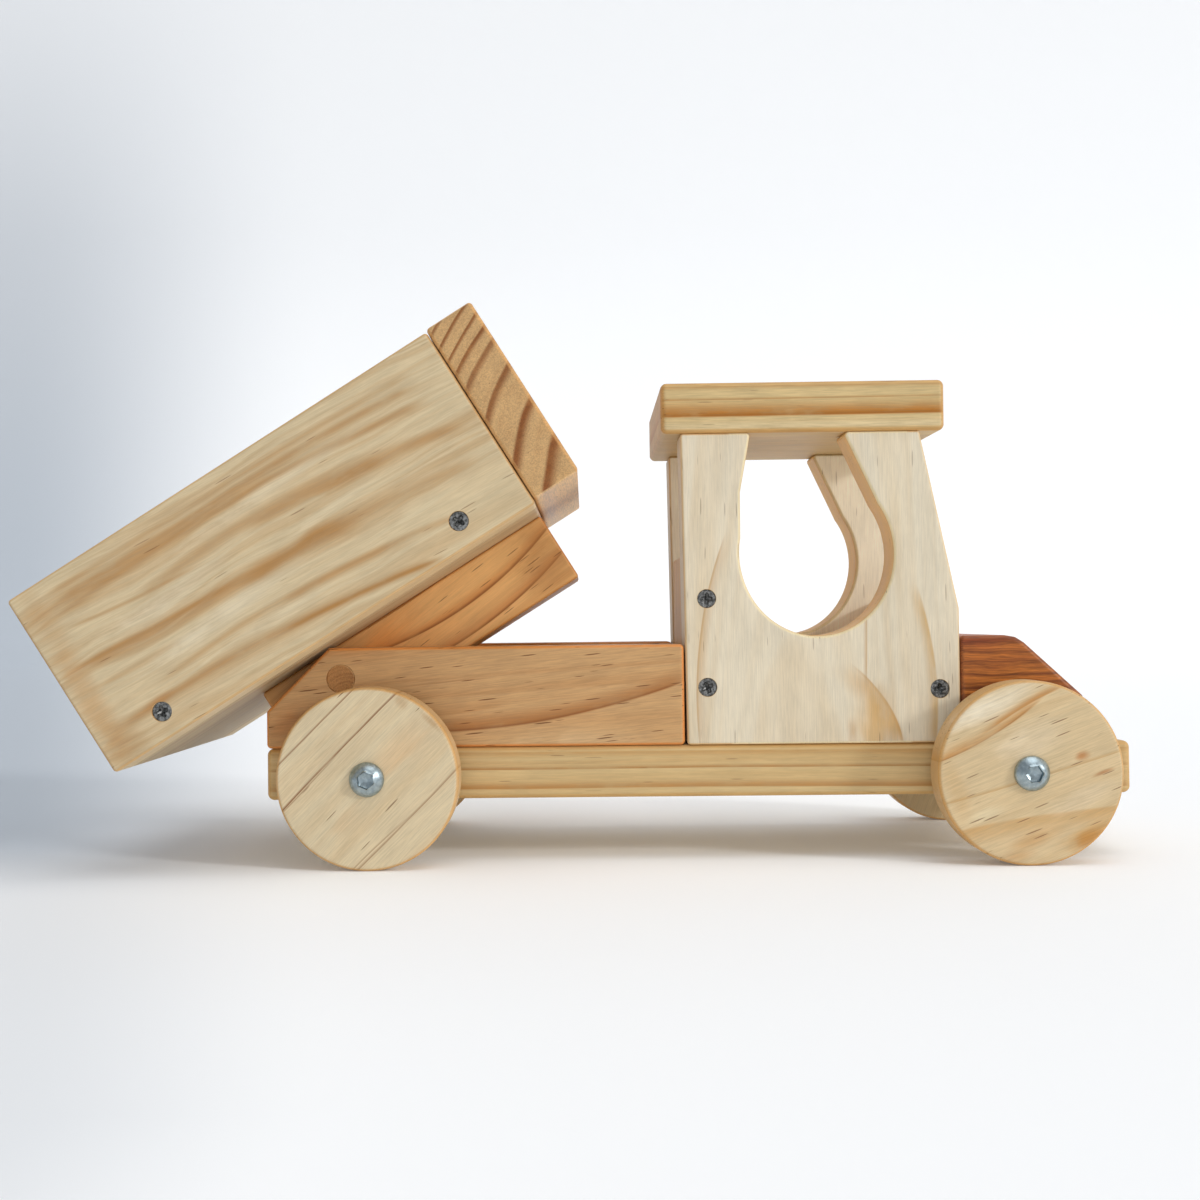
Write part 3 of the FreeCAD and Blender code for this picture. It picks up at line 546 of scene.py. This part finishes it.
def screw_shape(length, head_radius, shank_radius):
    """A countersunk wood screw along -z from its head at z = 0: cross recess, cone, thread and point."""
    sides = 40
    angles = [2 * math.pi * c / sides for c in range(sides)]
    recess_depth, recess_wall, dish = 2.2, 0.22, 0.02
    arm, half_arm, flare = head_radius * 0.62, head_radius * 0.17, 0.0875

    def recess(x, y):
        """Depth of the cross recess below the head's face at (x, y)."""
        x, y = abs(x), abs(y)
        across_x = max(x - arm, y - half_arm - flare * max(0, arm - x))
        across_y = max(y - arm, x - half_arm - flare * max(0, arm - y))
        inside = -min(across_x, across_y)
        wall = max(0.0, min(1.0, inside / recess_wall))
        taper = max(0.25, 1 - math.hypot(x, y) / (arm * 1.25))
        return recess_depth * wall * wall * (3 - 2 * wall) * taper

    # the head's face out to a plain rim, then its edge and the cone below it
    gap, rim = 0.25, 0.45
    rings = []
    for k in range(int((head_radius - rim) / gap)):
        r = gap + gap * k
        rings.append([(x, y, -recess(x, y) - dish * r) for x, y, _ in circle(angles, r, 0.0)])
    for r, z in ((head_radius - 0.22, -0.10), (head_radius - 0.05, -0.20), (head_radius, -0.34),
                 (head_radius - 0.05, -0.52), (shank_radius + 0.55, -2.3), (shank_radius, -3.1)):
        rings.append(circle(angles, r, z))
    pitch, core, steps = 1.7, shank_radius * 0.66, 84
    start, stop, point_length = -5.0, -length, 4.5
    for k in range(steps + 1):
        z = start + (stop - start) * k / steps
        point = min(1.0, (z - stop) / point_length + 0.03)
        ring = []
        for a in angles:
            turn = (z / pitch + a / (2 * math.pi)) % 1.0
            crest = max(0.0, 1 - abs(turn - 0.5) * 4.2)
            r = (core + (shank_radius - core) * crest) * point if k else shank_radius
            ring.append((r * math.cos(a), r * math.sin(a), z))
        rings.append(ring)
    verts = [p for ring in rings for p in ring]
    faces = grid_faces(len(rings), sides)
    verts += [(0, 0, -recess(0, 0)), (0, 0, stop)]
    faces += cap(0, sides, len(verts) - 2, flip=True)
    faces += cap((len(rings) - 1) * sides, sides, len(verts) - 1)
    return np.array(verts) * MM, [f[::-1] for f in faces]


def islands(node):
    """The separate solids of a CAD node, each as an array of its points."""
    mesh = frame["nodes"][node].data
    points = np.array([v.co for v in mesh.vertices])
    keys, inverse = np.unique(np.round(points / (0.02 * MM)), axis=0, return_inverse=True)
    inverse = inverse.ravel()
    parent = list(range(len(keys)))

    def root(i):
        while parent[i] != i:
            parent[i] = parent[parent[i]]
            i = parent[i]
        return i

    for edge in mesh.edges:
        a, b = (root(int(inverse[i])) for i in edge.vertices)
        if a != b:
            parent[a] = b
    groups = {}
    for i, k in enumerate(inverse):
        groups.setdefault(root(int(k)), []).append(i)
    found = [points[index] for index in groups.values()]
    return sorted(found, key=lambda p: tuple(np.round(p.mean(0), 4)))


def axis_of(points):
    """The middle of the head's face, the outward axis and the length of one screw."""
    mean = points.mean(0)
    axis = np.linalg.svd(points - mean, full_matrices=False)[2][0]
    along = (points - mean) @ axis
    spread = np.linalg.norm((points - mean) - np.outer(along, axis), axis=1)
    if along[spread > spread.max() * 0.9].mean() < 0:                 # the widest points are the head's
        axis, along = -axis, -along
    face = points[along > along.max() - 0.1 * MM].mean(0)
    face = face + axis * (along.max() - (face - mean) @ axis)
    return face, axis, along.max() - along.min()


def screws(group, body):
    """One piece for a group of screws, each turned a different way in its hole."""
    verts, faces = [], []
    for number, points in enumerate(islands(group)):
        face, axis, length = axis_of(points)
        shape, shape_faces = screw_shape(length / MM, SCREW_HEAD, SCREW_SHANK)
        turn = Matrix.Rotation(0.4 + 1.1 * number, 3, "Z")
        stand = Vector((0, 0, 1)).rotation_difference(Vector(axis)).to_matrix() @ turn
        placed = shape @ np.array(stand).T + face
        offset = len(verts)
        verts += [tuple(p) for p in placed]
        faces += [tuple(i + offset for i in f) for f in shape_faces]
    piece = build(group + "_detail", verts, faces, steel)
    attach(piece, body)
    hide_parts(group)


for group in ("rail_screws", "cab_base_screws", "hood_screws", "cab_screws", "roof_screws"):
    screws(group, "chassis")
for group in ("bed_side_screws", "headboard_screws", "tip_block_screws"):
    screws(group, "bed")


def bolt_shape(head_radius, head_height, shank_radius, length):
    """A button head bolt along -z from its crown at z = 0: domed head, hexagon socket, threaded shank."""
    sides = 72
    angles = [2 * math.pi * c / sides for c in range(sides)]
    half_flat, socket_depth = 3.0, 2.6

    def hexagon(a):
        sector = (a + math.pi / 6) % (math.pi / 3) - math.pi / 6
        return half_flat / math.cos(sector)

    def dome(r):
        return -(head_height - 0.9) * (r / head_radius) ** 2.6

    # the socket from its floor up to its eased mouth, the dome outwards from it, and the head's edge
    rings = []
    for grow, z in ((0.35, -socket_depth - 0.5), (0.94, -socket_depth), (1.0, -socket_depth + 0.15),
                    (1.0, -0.42), (1.05, -0.22)):
        rings.append([(grow * hexagon(a) * math.cos(a), grow * hexagon(a) * math.sin(a), z) for a in angles])
    inner, outer, bands = half_flat * 1.28, head_radius - 0.12, 8
    for k in range(bands + 1):
        r = inner + (outer - inner) * k / bands
        rings.append(circle(angles, r, dome(r)))
    for r, z in ((head_radius, -head_height + 0.62), (head_radius, -head_height + 0.16),
                 (head_radius - 0.15, -head_height), (shank_radius, -head_height)):
        rings.append(circle(angles, r, z))
    pitch, core, steps, plain_steps = 1.25, shank_radius * 0.85, 96, 8
    start = -head_height - 0.5
    for k in range(steps + 1):
        z = start + (-length - start) * k / steps
        threaded = plain_steps < k < steps - 1
        ring = []
        for a in angles:
            crest = 1 - abs((z / pitch + a / (2 * math.pi)) % 1.0 - 0.5) * 2
            r = core + (shank_radius - core) * crest if threaded else shank_radius * 0.98
            ring.append((r * math.cos(a), r * math.sin(a), z))
        rings.append(ring)
    verts = [p for ring in rings for p in ring]
    faces = grid_faces(len(rings), sides)
    verts += [(0, 0, -socket_depth - 0.8), (0, 0, -length)]
    faces += cap(0, sides, len(verts) - 2, flip=True)
    faces += cap((len(rings) - 1) * sides, sides, len(verts) - 1)
    return np.array(verts) * MM, [f[::-1] for f in faces]


# each bolt, and how many degrees its socket is turned
for corner, turn in (("rear_right", 8), ("front_right", 34), ("rear_left", 20), ("front_left", 50)):
    node = "wheel_bolt_" + corner
    low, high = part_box(node)
    outward = -1 if "right" in corner else 1
    crown = Vector(((low.x + high.x) / 2, low.y if outward < 0 else high.y, (low.z + high.z) / 2))
    shape, faces = bolt_shape((high.x - low.x) / 2 / MM, BOLT_HEAD_HEIGHT, BOLT_SHANK, (high.y - low.y) / MM)
    stand = Vector((0, 0, 1)).rotation_difference(Vector((0, outward, 0))).to_matrix()
    stand = stand @ Matrix.Rotation(math.radians(turn), 3, "Z")
    piece = build(node + "_detail", shape @ np.array(stand).T + np.array(crown), faces, zinc)
    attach(piece, "chassis")
    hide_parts(node)
    dress("wheel_spacer_" + corner, zinc)


# --------------------------------------------------------- floor, light, camera

def backdrop():
    """A white sweep: a wide floor that curves up into a wall far behind the object."""
    half_width, front, back, bend, top = 9.0, -6.0, 3.2, 1.6, 6.0
    steps, columns = 24, 24
    profile = [(front, 0.0), (back, 0.0)]
    profile += [(back + bend * math.sin(a), bend - bend * math.cos(a))
                for a in (math.pi / 2 * k / steps for k in range(1, steps + 1))]
    profile.append((back + bend, top))
    verts = [(-half_width + 2 * half_width * c / columns, y, z)
             for y, z in profile for c in range(columns + 1)]
    faces = [(r * (columns + 1) + c, r * (columns + 1) + c + 1, (r + 1) * (columns + 1) + c + 1,
              (r + 1) * (columns + 1) + c) for r in range(len(profile) - 1) for c in range(columns)]
    g = Graph("backdrop_paper")
    place = g.node("ShaderNodeTexCoord").outputs["Object"]
    tooth = g.noise(g.scaled(place, 300.0), 3.0)
    # painted shade: the left of the sweep is painted a bluish shade that widens towards the back and is
    # deepest low down
    paper, shade = rgb(247, 248, 249), rgb(177, 184, 192)
    camera_distance, least_depth = 0.66, 0.3
    depth = g.math("MAXIMUM", g.add(g.dot(place, Y), camera_distance), least_depth)
    side = g.step(g.math("DIVIDE", g.dot(place, X), depth), -0.17, -0.40)
    behind = g.step(g.dot(place, Y), -0.13, 0.02, 0.35, 1.0)
    side = g.mul(side, g.mul(behind, g.step(g.dot(place, Z), 3.6, 0.0)))
    colour = g.mix(side, paper, shade)
    bump = g.node("ShaderNodeBump", {"Height": tooth, "Strength": 0.05, "Distance": 0.1 * MM})
    shader = g.node("ShaderNodeBsdfPrincipled", {"Base Color": colour, "Roughness": 0.9,
                    "Normal": bump.outputs[0], "Specular IOR Level": 0.1,
                    "Emission Color": colour, "Emission Strength": 0.08})
    floor = build("backdrop", verts, faces, g.finish(shader.outputs[0]))


def sun(name, towards, strength, softness, colour):
    light = bpy.data.lights.new(name, "SUN")
    light.energy = strength
    light.angle = math.radians(softness)
    light.color = colour
    obj = bpy.data.objects.new(name, light)
    obj.rotation_euler = (-Vector(towards)).to_track_quat("-Z", "Y").to_euler()
    bpy.context.scene.collection.objects.link(obj)


backdrop()
sun("top", (0.20, -0.20, 1.0), 0.88, 45, (0.98, 0.99, 1.0))
sun("right", (1.0, -0.60, 0.45), 1.10, 9, (1.0, 0.985, 0.97))
sun("front", (-0.18, -1.0, 0.05), 0.13, 20, (0.99, 0.99, 1.0))


def studio_world():
    """White light from all round, fainter and bluer from the left."""
    from_left, from_right = (0.43, 0.45, 0.48, 1), (0.54, 0.54, 0.54, 1)
    world = bpy.data.worlds.new("studio")
    world.use_nodes = True
    nodes, links = world.node_tree.nodes, world.node_tree.links
    direction = nodes.new("ShaderNodeTexCoord").outputs["Generated"]
    parts = nodes.new("ShaderNodeSeparateXYZ")
    ramp = nodes.new("ShaderNodeMapRange")
    ramp.inputs["From Min"].default_value = -1.0
    ramp.inputs["From Max"].default_value = 0.6
    shade = nodes.new("ShaderNodeMix")
    shade.data_type = "RGBA"
    shade.inputs[6].default_value = from_left
    shade.inputs[7].default_value = from_right
    links.new(direction, parts.inputs[0])
    links.new(parts.outputs["X"], ramp.inputs["Value"])
    links.new(ramp.outputs[0], shade.inputs[0])
    links.new(shade.outputs[2], nodes["Background"].inputs["Color"])
    bpy.context.scene.world = world


studio_world()

scene = bpy.context.scene
scene.view_settings.view_transform = "Standard"
scene.view_settings.look = "None"

CAMERA_PLACE = (0.0008, -0.6555, 0.0993)
CAMERA_TILT, CAMERA_ROLL, CAMERA_TURN = 0.865, 0.653, 1.037      # degrees
camera = bpy.data.cameras.new("camera")
camera.lens = 43.5
camera.sensor_width = 36.0
camera.shift_x = 0.0339
camera.clip_start = 0.01
view = bpy.data.objects.new("camera", camera)
view.location = CAMERA_PLACE
view.rotation_euler = Euler([math.radians(a) for a in (90 + CAMERA_TILT, CAMERA_ROLL, CAMERA_TURN)])
scene.collection.objects.link(view)
scene.camera = view
